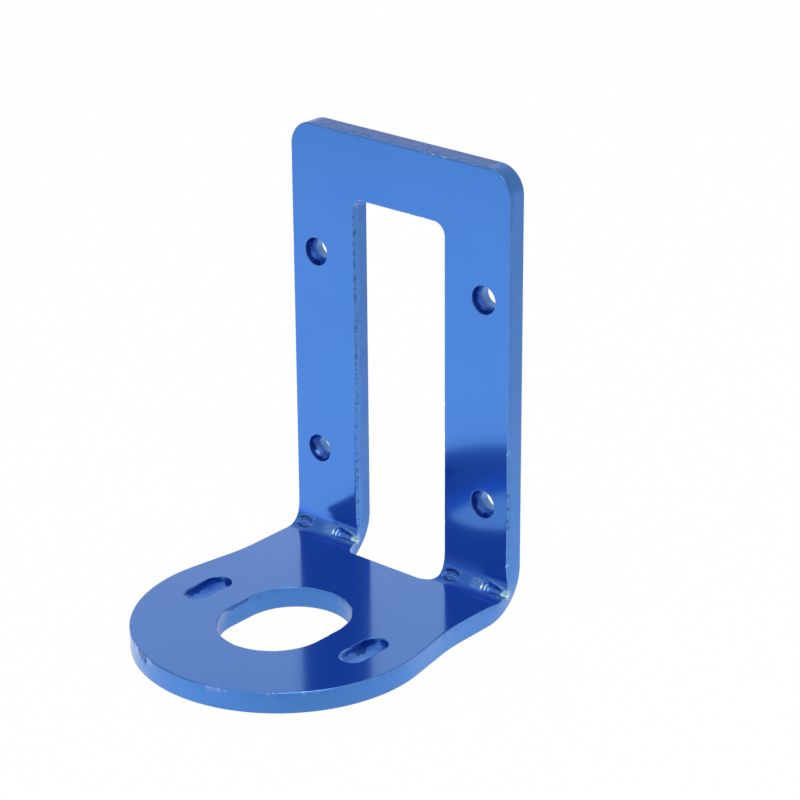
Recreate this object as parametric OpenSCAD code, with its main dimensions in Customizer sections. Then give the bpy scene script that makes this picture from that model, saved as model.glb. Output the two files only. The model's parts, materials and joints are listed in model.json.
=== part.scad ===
// Motor mounting bracket: one thick aluminium sheet, blanked, pierced and folded once to a right angle.
// X runs along the fold, the base reaches towards -Y and the upright rises towards +Z.
// The origin is the centre of the four fixing holes, on the back face of the upright.

/* [Sheet] */
// Thickness of the sheet
sheet_t = 2.65; // [2:0.05:3.2]
// Width of the upright and of the neck of the base
body_w = 33.5; // [32:0.5:36]
// Radius inside the bend
bend_in_r = 2.2; // [1:0.1:2.6]
// How much the outside radius exceeds the inside radius plus the sheet, as the metal draws thin
bend_draw = 1.1; // [0:0.1:1.5]

/* [Upright] */
// Height from the underside of the base to the top edge
upright_h = 56; // [52:0.5:64]
// Radius of the two top corners
corner_r = 3.3; // [1:0.1:5]

/* [Window] */
// Width of the window between the two legs
window_w = 14.25; // [10:0.25:16]
// Band of metal left above the window
head_band = 8.2; // [6:0.1:12]
// How far the window runs into the base, from the back face
window_run = 5.4; // [5.2:0.1:8]
// Radius of the window's two top corners
window_top_r = 1.6; // [0.5:0.1:3]
// Radius of the window's two corners in the base
window_base_r = 2; // [0.5:0.1:3]

/* [Fixing holes] */
// Diameter of the four holes in the upright
fix_d = 3.5; // [2.5:0.1:4.5]
// Distance between the two columns of holes
fix_span_x = 26; // [23:0.5:27]
// Distance between the two rows of holes
fix_span_z = 26; // [20:0.5:28]
// Height of the lower row above the underside of the base
fix_low_z = 13.8; // [11:0.1:16]

/* [Base] */
// Depth from the back face to the front of the disc
base_d = 42; // [38:0.5:50]
// Diameter of the disc that the motor sits on
disc_d = 36.5; // [33:0.5:40]
// Length of the base's straight sides, from the back face to where they turn out towards the disc
straight_l = 13.2; // [9:0.1:16]
// Radius of the blend at that turn
turn_r = 25; // [5:1:40]

/* [Motor seat] */
// Width of the opening for the motor's boss
boss_w = 13.7; // [10:0.1:15]
// Length of that opening, along the base
boss_l = 17; // [15:0.1:19]
// Distance between the centres of the two screw slots
slot_span = 25; // [23:0.5:26]
// Width of each screw slot
slot_w = 3.3; // [2.5:0.1:4]
// Length of each screw slot from end to end
slot_l = 7; // [5:0.1:9]

/* [Hidden] */
$fn = 96;
// How far a cutting shape passes beyond the faces that it cuts
past = 1;
// How far a line or a round crosses the curve that it touches, so that they cross instead of only touching
lap = 0.002;
// Outside radius of the bend
bend_out_r = bend_in_r + sheet_t + bend_draw;
// Height of the origin above the underside of the base
origin_z = fix_low_z + fix_span_z / 2;
// Height of the window's top edge above the underside of the base
window_top_z = upright_h - head_band;
// Width of the sheet where it is widest
sheet_w = max(body_w, disc_d);
// Centre of the disc, behind the front of the base by its radius
disc_r = disc_d / 2;
disc_y = disc_r - base_d;
// Corner of the base's right side: the straight side ends here and a line to the disc begins
turn = [body_w / 2, -straight_l];
// Slope of the disc's radius where that line touches it; where the disc covers the corner, of the one through it
turn_reach = norm([turn.x, turn.y - disc_y]);
turn_slope = atan2(turn.y - disc_y, turn.x) - acos(min(1, (disc_r - lap) / turn_reach));
touch = [0, disc_y] + (disc_r - lap) * [cos(turn_slope), sin(turn_slope)];
line_l = sqrt(max(0, pow(turn_reach, 2) - pow(disc_r, 2)));
// The blend touches the straight side and that line, or the disc where the line is too short for it
blend_l = turn_r * tan(turn_slope / 2);
blend_on_line = blend_l < line_l;
blend_y = blend_on_line ? turn.y + blend_l : disc_y + sqrt(pow(disc_r + turn_r, 2) - pow(turn.x + turn_r, 2));
blend_centre = [turn.x + turn_r, blend_y];
blend_slope = blend_on_line ? turn_slope : atan2(blend_y - disc_y, blend_centre.x);

// Area between a square corner at the origin and a round of radius r that touches both its sides
module corner_scrap(r) {
    difference() {
        square(r);
        translate([r, r]) circle(r);
    }
}

// Rectangle of width w from y = 0 to y = l, with its two corners at l rounded by r
module rounded_end(w, l, r) {
    difference() {
        translate([-w / 2, 0]) square([w, l]);
        for (side = [0, 1]) mirror([side, 0]) translate([w / 2, l]) rotate(180) corner_scrap(r);
    }
}

// Slot of width w and end-to-end length l, along Y about the origin
module slot_shape(w, l) {
    straight = l - w;
    translate([-w / 2, -straight / 2]) square([w, straight]);
    for (end = [-1, 1]) translate([0, end * straight / 2]) circle(d = w);
}

// Side view of the fold: x is the depth, negative towards the front, and y is the height
module fold_section() {
    difference() {
        translate([-base_d, 0]) square([base_d, upright_h]);
        translate([-base_d - past, sheet_t]) difference() {
            square([base_d + past - sheet_t, upright_h]);
            translate([base_d + past - sheet_t, 0]) mirror([1, 0]) corner_scrap(bend_in_r);
        }
        mirror([1, 0]) corner_scrap(bend_out_r);
    }
}

// What fills the hollow corner where the right side turns out, from the middle of the base to the blend
module turn_fill() {
    inwards = -blend_centre.x * [cos(blend_slope), sin(blend_slope)];
    difference() {
        polygon([blend_centre, [0, blend_y], blend_centre + inwards]);
        translate(blend_centre) circle(turn_r + lap);
    }
}

// Plan view of the base and of the upright that stands on it
module plan_outline() {
    translate([0, disc_y]) circle(disc_r);
    translate([-turn.x, turn.y]) square([body_w, straight_l]);
    polygon([[-turn.x, turn.y], [-touch.x, touch.y], touch, turn]);
    // A disc narrower than the body leaves no hollow corner to fill
    if (turn_slope > 0) for (side = [0, 1]) mirror([side, 0]) turn_fill();
}

// The folded sheet before it is pierced
module folded_sheet() {
    intersection() {
        rotate([90, 0, 90]) translate([0, 0, -sheet_w / 2]) linear_extrude(sheet_w) fold_section();
        linear_extrude(upright_h) plan_outline();
    }
}

// What the rounded top corners take off the upright
module top_corners() {
    for (side = [0, 1]) mirror([side, 0, 0])
        translate([body_w / 2, past, upright_h]) rotate([90, 180, 0])
            linear_extrude(sheet_t + 2 * past) corner_scrap(corner_r);
}

// The window: down through the upright and the bend, and on into the base with its own two corners
module window_cut() {
    base_r = min(window_base_r, window_run - sheet_t - 0.1);
    translate([0, past, -past]) rotate([90, 0, 0]) linear_extrude(window_run - base_r + past)
        rounded_end(window_w, window_top_z + past, window_top_r);
    translate([0, past, -past]) mirror([0, 1, 0]) linear_extrude(bend_out_r + 2 * past)
        rounded_end(window_w, window_run + past, base_r);
}

// The four holes that fix the upright
module fixing_holes() {
    for (x = [-1, 1], z = [0, 1])
        translate([x * fix_span_x / 2, past, fix_low_z + z * fix_span_z]) rotate([90, 0, 0])
            cylinder(d = fix_d, h = sheet_t + 2 * past);
}

// The opening for the motor's boss and the slots for its two screws
module motor_seat() {
    translate([0, disc_y, -past]) linear_extrude(sheet_t + 2 * past) {
        slot_shape(boss_w, boss_l);
        for (side = [-1, 1]) translate([side * slot_span / 2, 0]) slot_shape(slot_w, slot_l);
    }
}

module bracket() {
    color("#3f78cf") translate([0, 0, -origin_z]) difference() {
        folded_sheet();
        top_corners();
        window_cut();
        fixing_holes();
        motor_seat();
    }
}

bracket();
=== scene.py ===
"""Motor mounting bracket: its dressed mesh, its stage and its camera.

The bracket is one aluminium sheet. It is laid out here as the flat blank that left the press, with the
rolled, sheared and torn edges that a die leaves, and a node tree then folds it round the bend. The blank is
drawn in millimetres: X runs along the fold, Y along the sheet from the seat to the top of the upright, with
the middle of the bend at zero, and Z from the face (0) down into the sheet.
"""

import json
import logging
import math
from dataclasses import dataclass, field, replace
from enum import Enum
from functools import partialmethod

import bpy
import numpy as np
from mathutils import Matrix, Vector
from mathutils.geometry import delaunay_2d_cdt


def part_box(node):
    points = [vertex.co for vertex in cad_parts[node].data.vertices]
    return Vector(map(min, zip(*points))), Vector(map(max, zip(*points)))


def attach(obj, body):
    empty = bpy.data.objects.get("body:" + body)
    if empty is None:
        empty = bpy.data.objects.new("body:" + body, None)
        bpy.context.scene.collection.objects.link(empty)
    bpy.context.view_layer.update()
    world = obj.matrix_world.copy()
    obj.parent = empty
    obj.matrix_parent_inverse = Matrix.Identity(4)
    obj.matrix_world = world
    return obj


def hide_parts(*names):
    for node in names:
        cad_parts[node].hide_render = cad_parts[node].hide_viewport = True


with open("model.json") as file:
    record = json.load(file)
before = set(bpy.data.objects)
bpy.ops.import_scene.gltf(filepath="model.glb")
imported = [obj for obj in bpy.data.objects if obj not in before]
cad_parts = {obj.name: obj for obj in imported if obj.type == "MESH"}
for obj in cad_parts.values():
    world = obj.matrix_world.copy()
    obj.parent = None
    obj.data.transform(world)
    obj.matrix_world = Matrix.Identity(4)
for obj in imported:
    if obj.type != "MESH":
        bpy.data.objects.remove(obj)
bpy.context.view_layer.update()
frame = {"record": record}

MM = 0.001
NODE = "bracket"
BODY = "root"
THROUGH_SHEET = (1.0, 1.0, 0.12)

log = logging.getLogger(NODE)

Point = tuple[float, float]
Triple = tuple[float, float, float]
Colour = tuple[float, float, float, float]
Array = np.ndarray
Socket = bpy.types.NodeSocket
Material = bpy.types.Material
Value = float | int | str | tuple | Socket | Material
Node = bpy.types.Node
Given = dict[str, Socket]


@dataclass(frozen=True)
class Cut:
    """How a die left one kind of edge.

    Args:
        torn: How far the wall is torn, from 0 to 1.
        roll: Size of the rolled-over edge, as a share of the profile's.
        wear_and_highlight: How far the rolled-over edge is chipped and rubbed down to the metal, and how
            bright
        the painted highlight along it is, from 0 to 1.
        taper: How far the wall closes in towards the back, in millimetres.
        pooled: How much painted shade darkens the mouth of the opening, from 0 to 1.
        dull: How far the wall is dulled by handling, from 0 to 1.
        pale: How far the wall took less of the anodising's blue behind its mouth, from 0 to 1.
    """

    torn: float
    roll: float
    wear_and_highlight: float
    taper: float = 0.0
    pooled: float = 0.0
    dull: float = 0.0
    pale: float = 0.0


class Die(Enum):
    """The edges of the bracket, each with the cut that its die made."""

    DISC = Cut(0.12, 0.28, 0.2)
    SIDE = Cut(0.3, 0.4, 0.3)
    TOP = Cut(0.85, 0.8, 1.0, dull=1.0)
    WINDOW = Cut(1.0, 0.32, 0.5)
    SEAT = Cut(0.35, 0.3, 0.6)
    SLOT = Cut(1.0, 0.2, 0.1, 0.15, 0.8)
    HOLE = Cut(0.8, 0.16, 0.1, 0.34, 1.0, pale=1.0)


@dataclass(frozen=True)
class Sheet:
    """Driving sizes of the bracket, in millimetres, as the solid has them.

    The box of the solid and the record's hole pattern give the overall sizes; the rest are the solid's own.
    """

    upright_h: float
    base_d: float
    disc_d: float
    underside_z: float
    hole_span_x: float
    hole_span_z: float
    hole_r: float
    body_w: float = 33.5
    thick: float = 2.65
    inside_r: float = 2.2
    outside_r: float = 5.95
    corner_r: float = 3.3
    window_w: float = 14.25
    window_run: float = 5.4
    window_top_r: float = 1.6
    window_base_r: float = 2.0
    head_band: float = 8.2
    straight_l: float = 13.2
    turn_r: float = 25.0
    boss_w: float = 13.7
    boss_l: float = 17.0
    slot_span: float = 25.0
    slot_w: float = 3.3
    slot_l: float = 7.0

    @classmethod
    def from_frame(cls) -> "Sheet":
        """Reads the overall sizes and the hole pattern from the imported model.

        Returns:
            The sheet, with every size that the frame holds taken from it.
        """
        low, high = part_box(NODE)
        holes = next(m for m in frame["record"]["mounts"] if m["name"] == "fixing_holes")["dims"]
        return cls(
            upright_h=(high.z - low.z) / MM,
            base_d=-low.y / MM,
            disc_d=(high.x - low.x) / MM,
            underside_z=low.z / MM,
            hole_span_x=holes["spacing_x_mm"],
            hole_span_z=holes["spacing_y_mm"],
            hole_r=holes["hole_r_mm"],
        )

    @property
    def lead_in(self) -> float:
        """Flat stretch on the inside of the bend before its smaller radius begins."""
        return self.outside_r - self.thick - self.inside_r

    @property
    def inside_l(self) -> float:
        """Length of the inner surface over the whole bend."""
        return 2 * self.lead_in + self.inside_r * math.pi / 2

    @property
    def bend_half(self) -> float:
        """Half the length that the bend takes in the flat blank."""
        return (self.inside_l + self.outside_r * math.pi / 2) / 4

    @property
    def disc_y(self) -> float:
        """Depth of the disc's centre, negative towards the front."""
        return self.disc_d / 2 - self.base_d

    def at_depth(self, y: float) -> float:
        """Place along the blank of a depth on the base's upper face.

        Args:
            y: Depth in the folded part, negative towards the front.

        Returns:
            The place along the blank.
        """
        run = y + self.outside_r
        if run > self.lead_in:
            turned = math.asin(min(1.0, (run - self.lead_in) / self.inside_r))
            run = self.lead_in + self.inside_r * turned
        if run > 0:
            run *= 2 * self.bend_half / self.inside_l
        return run - self.bend_half

    def at_height(self, z: float) -> float:
        """Place along the blank of a height above the underside, on the upright."""
        return z - self.outside_r + self.bend_half


@dataclass
class Outline:
    """A closed line on the blank, travelled with the metal on its left.

    Args:
        points: The points of the line, in millimetres.
        cuts: The cut at each point.
        step: Distance between two points.
        fewest: The least number of points that an arc takes.
    """

    points: list[Point] = field(default_factory=list)
    cuts: list[Cut] = field(default_factory=list)
    step: float = 0.17
    fewest: int = 6

    def line(self, start: Point, end: Point, die: Die) -> None:
        """Adds a straight stretch, without its last point.

        Args:
            start: Where the stretch starts.
            end: Where it ends.
            die: How the die cut it.
        """
        count = max(1, round(math.dist(start, end) / self.step))
        for k in range(count):
            share = k / count
            self._add(start[0] + (end[0] - start[0]) * share, start[1] + (end[1] - start[1]) * share, die)

    def arc(self, centre: Point, radius: float, start: float, end: float, die: Die) -> None:
        """Adds a round stretch, without its last point.

        Args:
            centre: The centre of the arc.
            radius: Its radius.
            start: The angle at which it starts, in degrees.
            end: The angle at which it ends, below start if the arc turns clockwise.
            die: How the die cut it.
        """
        count = max(self.fewest, round(math.radians(abs(end - start)) * radius / self.step))
        for k in range(count):
            angle = math.radians(start + (end - start) * k / count)
            self._add(centre[0] + radius * math.cos(angle), centre[1] + radius * math.sin(angle), die)

    def bend_corner(self, sheet: Sheet, side: int, die: Die) -> None:
        """Adds one of the window's corners in the base, which lies partly in the bend.

        Args:
            sheet: The sizes of the sheet.
            side: -1 for the left corner and 1 for the right one.
            die: How the die cut it.
        """
        radius = sheet.window_base_r
        centre_x = side * (sheet.window_w / 2 - radius)
        centre_y = radius - sheet.window_run
        count = round(math.pi / 2 * radius / self.step)
        for k in range(count):
            turn = math.pi / 2 * k / count
            angle = math.pi + turn if side < 0 else 1.5 * math.pi + turn
            y = centre_y + radius * math.sin(angle)
            self._add(centre_x + radius * math.cos(angle), sheet.at_depth(y), die)

    def mirrored(self) -> None:
        """Adds the left half of an outline whose right half runs from front to back."""
        self.points += [(-x, y) for x, y in reversed(self.points[1:-1])]
        self.cuts += list(reversed(self.cuts[1:-1]))

    def _add(self, x: float, y: float, die: Die) -> None:
        """Adds one point."""
        self.points.append((x, y))
        self.cuts.append(die.value)

    def reverse(self) -> None:
        """Turns the direction of travel round."""
        self.points.reverse()
        self.cuts.reverse()

    def as_array(self) -> Array:
        """The points as rows of an array."""
        return np.array(self.points)

    def amounts(self, name: str) -> Array:
        """One of the cuts' amounts at each point, evened out where one cut meets another.

        Args:
            name: Name of the amount.

        Returns:
            The amount at each point.
        """
        row = np.array([getattr(cut, name) for cut in self.cuts])
        reach = 4
        return sum(np.roll(row, shift) for shift in range(-reach, reach + 1)) / (2 * reach + 1)

    def outward(self) -> Array:
        """Direction out of the metal at each point.

        Returns:
            One unit vector for each point.
        """
        spots = self.as_array()
        travel = np.roll(spots, -1, 0) - np.roll(spots, 1, 0)
        travel /= np.linalg.norm(travel, axis=1)[:, None]
        return np.stack([travel[:, 1], -travel[:, 0]], 1)


@dataclass(frozen=True)
class Piercings:
    """Draws every outline of the blank from the sizes of the sheet.

    Args:
        sheet: Sizes of the sheet.
        swells: Where the disc's rolled-over edge is larger: how much, at what angle, over how many degrees.
        hole_step: Distance between two points of a fixing hole.
        closed_in: How much more each fixing hole's wall closes in, in millimetres, from the left column's
            lower hole to the right column's upper one.
        low_more: How much more it closes in at the lower side of each.
        painted_shades: Where painted shade darkens the mouth of the boss opening, the left slot and the right
        one: places along the blank from the middle of the seat, and how dark the shade is at each.
    """

    sheet: Sheet
    swells: tuple[Triple, ...] = ((0.6, -28.0, 22.0), (1.5, -97.0, 13.0))
    hole_step: float = 0.14
    closed_in: tuple[float, ...] = (0.18, 0.1, 0.1, 0.04)
    low_more: float = 0.16
    painted_shades: tuple[tuple[tuple[float, ...], tuple[float, ...]], ...] = (
        ((-3.4, -2.6, 0.8, 1.6), (0.0, 0.5, 0.5, 0.0)),
        ((-3.5, 0.6, 1.3, 2.4, 3.5), (1.5, 1.5, 0.6, 0.5, 1.1)),
        ((0.1, 0.7, 2.5, 3.0, 3.5), (0.12, 2.4, 2.4, 0.5, 0.5)),
    )

    def rim(self) -> Outline:
        """The outer edge: disc, blend, straight sides, top corners and top.

        Returns:
            The outline, travelled anticlockwise from the front of the disc.
        """
        s = self.sheet
        line = Outline()
        half = s.body_w / 2
        disc_r = s.disc_d / 2
        disc = (0.0, s.at_depth(s.disc_y))
        turn = (half, s.at_depth(-s.straight_l))
        reach = math.hypot(turn[0], turn[1] - disc[1])
        slope = math.atan2(turn[1] - disc[1], turn[0]) - math.acos(disc_r / reach)
        lean = math.degrees(slope)
        touch = (disc_r * math.cos(slope), disc[1] + disc_r * math.sin(slope))
        blend = (half + s.turn_r, turn[1] + s.turn_r * math.tan(slope / 2))
        foot = (blend[0] - s.turn_r * math.cos(slope), blend[1] - s.turn_r * math.sin(slope))
        top = s.at_height(s.upright_h)
        line.arc(disc, disc_r, -90, lean, Die.DISC)
        line.line(touch, foot, Die.DISC)
        line.arc(blend, s.turn_r, 180 + lean, 180, Die.SIDE)
        line.line((half, blend[1]), (half, top - s.corner_r), Die.SIDE)
        line.arc((half - s.corner_r, top - s.corner_r), s.corner_r, 0, 90, Die.SIDE)
        line.line((half - s.corner_r, top), (0.0, top), Die.TOP)
        # The point on the mirror line, which mirrored() doesn't repeat
        line.line((0.0, top), (0.0, top), Die.TOP)
        line.mirrored()
        for k, (x, y) in enumerate(line.points):
            lean = math.degrees(math.atan2(y - disc[1], x))
            grown = 1.0
            for more, middle, spread in self.swells:
                grown += more * math.exp(-(((lean - middle) / spread) ** 2))
            line.cuts[k] = replace(line.cuts[k], roll=line.cuts[k].roll * grown)
        return line

    def window(self) -> Outline:
        """The window between the legs, with two corners at its top and two in the base.

        Returns:
            The outline, travelled clockwise.
        """
        s = self.sheet
        line = Outline()
        half = s.window_w / 2
        top = s.at_height(s.upright_h - s.head_band)
        end = s.at_depth(-s.window_run)
        corner_y = s.at_depth(s.window_base_r - s.window_run)
        line.bend_corner(s, -1, Die.WINDOW)
        line.line((s.window_base_r - half, end), (half - s.window_base_r, end), Die.WINDOW)
        line.bend_corner(s, 1, Die.WINDOW)
        line.line((half, corner_y), (half, top - s.window_top_r), Die.WINDOW)
        line.arc((half - s.window_top_r, top - s.window_top_r), s.window_top_r, 0, 90, Die.WINDOW)
        line.line((half - s.window_top_r, top), (s.window_top_r - half, top), Die.SIDE)
        line.arc((s.window_top_r - half, top - s.window_top_r), s.window_top_r, 90, 180, Die.WINDOW)
        line.line((-half, top - s.window_top_r), (-half, corner_y), Die.WINDOW)
        line.reverse()
        return line

    def fixing_holes(self) -> list[Outline]:
        """The four round holes of the upright.

        Returns:
            Their outlines, column by column from the left and from below.
        """
        s = self.sheet
        low = -s.hole_span_z / 2 - s.underside_z
        holes = []
        for column in (-1, 1):
            for row in (0, 1):
                hole = Outline(step=self.hole_step)
                centre = (column * s.hole_span_x / 2, s.at_height(low + row * s.hole_span_z))
                hole.arc(centre, s.hole_r, 360, 0, Die.HOLE)
                more = self.closed_in[len(holes)]
                for k, (_, y) in enumerate(hole.points):
                    low_side = max(0.0, (centre[1] - y) / s.hole_r)
                    taper = hole.cuts[k].taper + more + self.low_more * low_side
                    hole.cuts[k] = replace(hole.cuts[k], taper=taper)
                holes.append(hole)
        return holes

    def slot(self, x: float, width: float, length: float, die: Die) -> Outline:
        """A slot with round ends along the sheet.

        Args:
            x: Place of its middle line.
            width: Width of the slot.
            length: Length from end to end.
            die: How the die cut it.

        Returns:
            The outline, travelled clockwise.
        """
        s = self.sheet
        line = Outline()
        straight = (length - width) / 2
        middle = s.at_depth(s.disc_y)
        line.arc((x, middle + straight), width / 2, 180, 0, die)
        line.line((x + width / 2, middle + straight), (x + width / 2, middle - straight), die)
        line.arc((x, middle - straight), width / 2, 0, -180, die)
        line.line((x - width / 2, middle - straight), (x - width / 2, middle + straight), die)
        return line

    def all(self) -> list[Outline]:
        """Every outline of the blank.

        Returns:
            The outlines, the outer one first.
        """
        s = self.sheet
        seat = [self.slot(0.0, s.boss_w, s.boss_l, Die.SEAT)]
        for side in (-1, 1):
            seat.append(self.slot(side * s.slot_span / 2, s.slot_w, s.slot_l, Die.SLOT))
        for line, (places, amounts) in zip(seat, self.painted_shades):
            self._paint_shade(line, places, amounts)
        return [self.rim(), self.window(), *self.fixing_holes(), *seat]

    def _paint_shade(self, line: Outline, places: tuple[float, ...], amounts: tuple[float, ...]) -> None:
        """Changes how dark the painted shade is along the mouth of an opening of the seat.

        Args:
            line: The outline of the opening.
            places: Places along the blank, from the middle of the seat.
            amounts: How dark the painted shade is at each.
        """
        middle = self.sheet.at_depth(self.sheet.disc_y)
        for k, (_, y) in enumerate(line.points):
            line.cuts[k] = replace(line.cuts[k], pooled=float(np.interp(y - middle, places, amounts)))


@dataclass(frozen=True)
class Ring:
    """One row of points round a cut edge.

    Args:
        inset: How far each point lies inside the outline, negative in the opening.
        deep: How deep each point lies in the sheet.
        wall: True where the wall starts or goes on below the row.
        rolled: How far the row lies on the rolled-over edge, from 0 to 1.
    """

    inset: Array
    deep: Array
    wall: bool = False
    rolled: float = 0.0


@dataclass(frozen=True)
class EdgeProfile:
    """Section of a die-cut edge, from the face to the back, in millimetres.

    Args:
        roll_in: How far the rolled-over edge reaches in over the face.
        roll_deep: How deep it reaches into the thickness.
        back_r: Radius of the edge at the back.
        support: Width of the flat strip that keeps the faces beside an edge true.
        wall_rings: How many rows of faces the wall has between its two rounded edges.
        roll_steps: How many rows of faces the rolled-over edge has.
        roll_foot: How far the last row of the rolled-over edge, where the wall starts, counts as rolled over.
        closed_at: Share of the wall at which it has closed in fully.
    """

    roll_in: float = 0.32
    roll_deep: float = 0.3
    back_r: float = 0.1
    support: float = 0.09
    wall_rings: int = 16
    roll_steps: int = 4
    roll_foot: float = 0.5
    closed_at: float = 0.7

    def rings(self, roll: Array, taper: Array, thick: float) -> list[Ring]:
        """Rows of the section.

        Args:
            roll: Size of the rolled-over edge at each point of the outline.
            taper: How far the wall closes in at the back, at each point.
            thick: Thickness of the sheet.

        Returns:
            The rows, from the face to the back.
        """
        roll_in, roll_deep = self.roll_in * roll, self.roll_deep * roll
        rings = [Ring(roll_in + self.support, 0 * roll)]
        for k in range(self.roll_steps + 1):
            angle = math.pi / 2 * k / self.roll_steps
            last = k == self.roll_steps
            inset, deep = roll_in * (1 - math.sin(angle)), roll_deep * (1 - math.cos(angle))
            rolled = self.roll_foot if last else math.sin(angle * 2) ** 0.5
            rings.append(Ring(inset, deep, last, rolled))
        wall = thick - roll_deep - self.back_r
        for k in range(1, self.wall_rings + 1):
            share = k / self.wall_rings
            rings.append(Ring(-taper * smooth(share / self.closed_at), roll_deep + wall * share, True))
        for angle in (math.pi / 4, math.pi / 2):
            inset = self.back_r * (1 - math.cos(angle)) - taper
            rings.append(Ring(inset, thick - self.back_r * (1 - math.sin(angle)) + 0 * taper))
        rings.append(Ring(self.back_r + self.support - taper, thick + 0 * taper))
        return rings


@dataclass(frozen=True)
class PressMarks:
    """What the bending tool left on the inner side of the bend, the same on both legs.

    Places are shares: u runs from a leg's left side to its right one, and v from -1, where the bend leaves
    the base, to 1, where it becomes upright. Heights are in millimetres. A slope is given by its start, or
    its end where it falls, and its width. A band is given by its middle, its half width and the width over
    which it fades. A wave is given by its height and how fast it turns.

    Args:
        ease: Place, reach and height of the swell that eases the upright into the bend.
        tight: Place, reach and depth of the hollow that the groove leaves instead of that swell.
        easing: Slope along u from the swell to the hollow.
        lump: Middle of the squashed lump at the left end.
        moat_reach: Half length and half width of the moat round it.
        lump_reach: Half length and half width of the lump itself.
        lump_high: Height of the lump as a share of the moat's depth.
        sway: Wave in the lump's middle line, and where it starts.
        crack_u: Place of the crack between two bright burrs.
        crack_deep: Depth of the crack as a share of the burrs' height.
        burrs: Place of each burr from the crack, and its half width.
        courses: Groove's upper lip, foot of its upper wall and lower lip: v at the crack, and its change
            from there to the right end.
        opening: Slope along u, from the crack, over which the groove opens.
        groove_wave: Wave in its depth, and the width over which it fades in below the upper wall.
        ridge_band: Place of the ridge above the upper lip, and its half width.
        facet: Slope along u to the facet at the right end.
        end_deep: How far the facet falls.
        bulge_band: Place along the blank, in millimetres, where the leg's right side bulges, and its reach.
        bulge_fade: How fast the bulge fades with depth.
    """

    ease: Triple = (0.65, 0.5, 0.13)
    tight: Triple = (0.76, 0.28, 0.06)
    easing: Point = (0.58, 0.14)
    lump: Point = (0.165, -0.03)
    moat_reach: Point = (0.145, 0.5)
    moat_wall: float = 0.4
    moat_deep: float = 0.28
    lump_reach: Point = (0.125, 0.17)
    lump_wall: Point = (1.25, 0.7)
    lump_high: float = 0.95
    lump_wave: Point = (0.1, 55.0)
    sway: Triple = (0.06, 38.0, 1.0)
    crack_u: float = 0.688
    crack_lean: float = 0.03
    crack_half: float = 0.011
    crack_band: Triple = (0.0, 0.32, 0.1)
    crack_deep: float = 1.3
    burrs: tuple[Point, Point] = ((-0.03, 0.022), (0.028, 0.021))
    burr_band: Triple = (-0.02, 0.27, 0.12)
    burr_high: float = 0.16
    courses: tuple[Point, Point, Point] = ((0.6, -0.34), (0.12, -0.02), (-0.3, 0.1))
    opening: Point = (0.02, 0.05)
    groove_wall: float = 0.16
    groove_deep: float = 0.42
    groove_wave: Triple = (0.03, 60.0, 0.1)
    ridge: float = 0.13
    ridge_band: Point = (0.04, 0.08)
    facet: Point = (0.94, 0.07)
    facet_band: Triple = (0.06, 0.36, 0.12)
    end_deep: float = 0.26
    bulge: float = 0.5
    bulge_band: Point = (-0.8, 2.7)
    bulge_fade: float = 1.1

    def groove(self, u: Array) -> list[Array]:
        """Course of the groove: its upper lip, the foot of its upper wall and its lower lip, as v."""
        share = np.clip((u - self.crack_u) / (1 - self.crack_u), 0, 1)
        return [start + change * share for start, change in self.courses]

    def opened(self, u: Array) -> Array:
        """How far the groove has opened past the crack, from 0 to 1."""
        return rise(u - self.crack_u, *self.opening)

    def crack(self, u: Array, v: Array) -> Array:
        """The crack, 1 on its line."""
        line = bell(u - self.crack_u + self.crack_lean * v, 0.0, self.crack_half)
        return line * band(v, *self.crack_band)

    def around_lump(self, u: Array, v: Array) -> Array:
        """Distance from the middle of the lump, 1 at the outer border of the moat."""
        return np.hypot((u - self.lump[0]) / self.moat_reach[0], (v - self.lump[1]) / self.moat_reach[1])

    def height(self, u: Array, v: Array) -> Array:
        """Height of the marks above the plain bend.

        Args:
            u: Place across the leg, from 0 to 1.
            v: Place across the bend, from -1 to 1.

        Returns:
            The height at each place.
        """
        place, reach, high = self.ease
        tight_at, tight_reach, tight_deep = self.tight
        right = rise(u, *self.easing)
        eased = high * bell(v, place, reach) * (1 - right)
        eased -= tight_deep * bell(v, tight_at, tight_reach) * right
        sway, turns, start = self.sway
        across, along = self.lump_reach
        swayed = v - self.lump[1] - sway * np.sin(turns * u + start)
        on_lump = np.hypot((u - self.lump[0]) / across, swayed / along)
        wave, turns = self.lump_wave
        lump = fall(on_lump, *self.lump_wall) * (self.lump_high + wave * np.sin(turns * u))
        moat = self.moat_deep * (self.lump_high * lump - 1)
        moat *= fall(self.around_lump(u, v), 1.0, self.moat_wall)
        left, beyond = (bell(u - self.crack_u, *burr) for burr in self.burrs)
        burrs = (left + beyond) * band(v, *self.burr_band) - self.crack_deep * self.crack(u, v)
        lip, foot, end = self.groove(u)
        wave, turns, fade = self.groove_wave
        deep = self.groove_deep + wave * np.sin(turns * v) * fall(v, foot, fade)
        groove = -deep * fall(v, lip, lip - foot) * rise(v, end, self.groove_wall)
        groove += self.ridge * bell(v - lip, *self.ridge_band)
        end_facet = -self.end_deep * rise(u, *self.facet) * band(v, *self.facet_band)
        return eased + moat + self.burr_high * burrs + groove * self.opened(u) + end_facet

    def rough(self, u: Array, v: Array) -> Array:
        """How grainy the marks leave the bend, from 0 to 1, at each place.

        Args:
            u: Place across the leg, from 0 to 1.
            v: Place across the bend, from -1 to 1.

        Returns:
            The grain at each place.
        """
        patch = rise(u, 0.42, 0.16) * fall(u - self.crack_u, 0.03, 0.04) * band(v, 0.06, 0.5, 0.25)
        lump = fall(self.around_lump(u, v), 1.1, 0.4)
        end = rise(u, 0.92, 0.06) * band(v, 0.0, 0.5, 0.1)
        floor = self.opened(u) * band(v, -0.08, 0.34, 0.1)
        return np.clip(patch + 0.3 * lump + 0.6 * end + 0.35 * floor, 0, 1)

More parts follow.
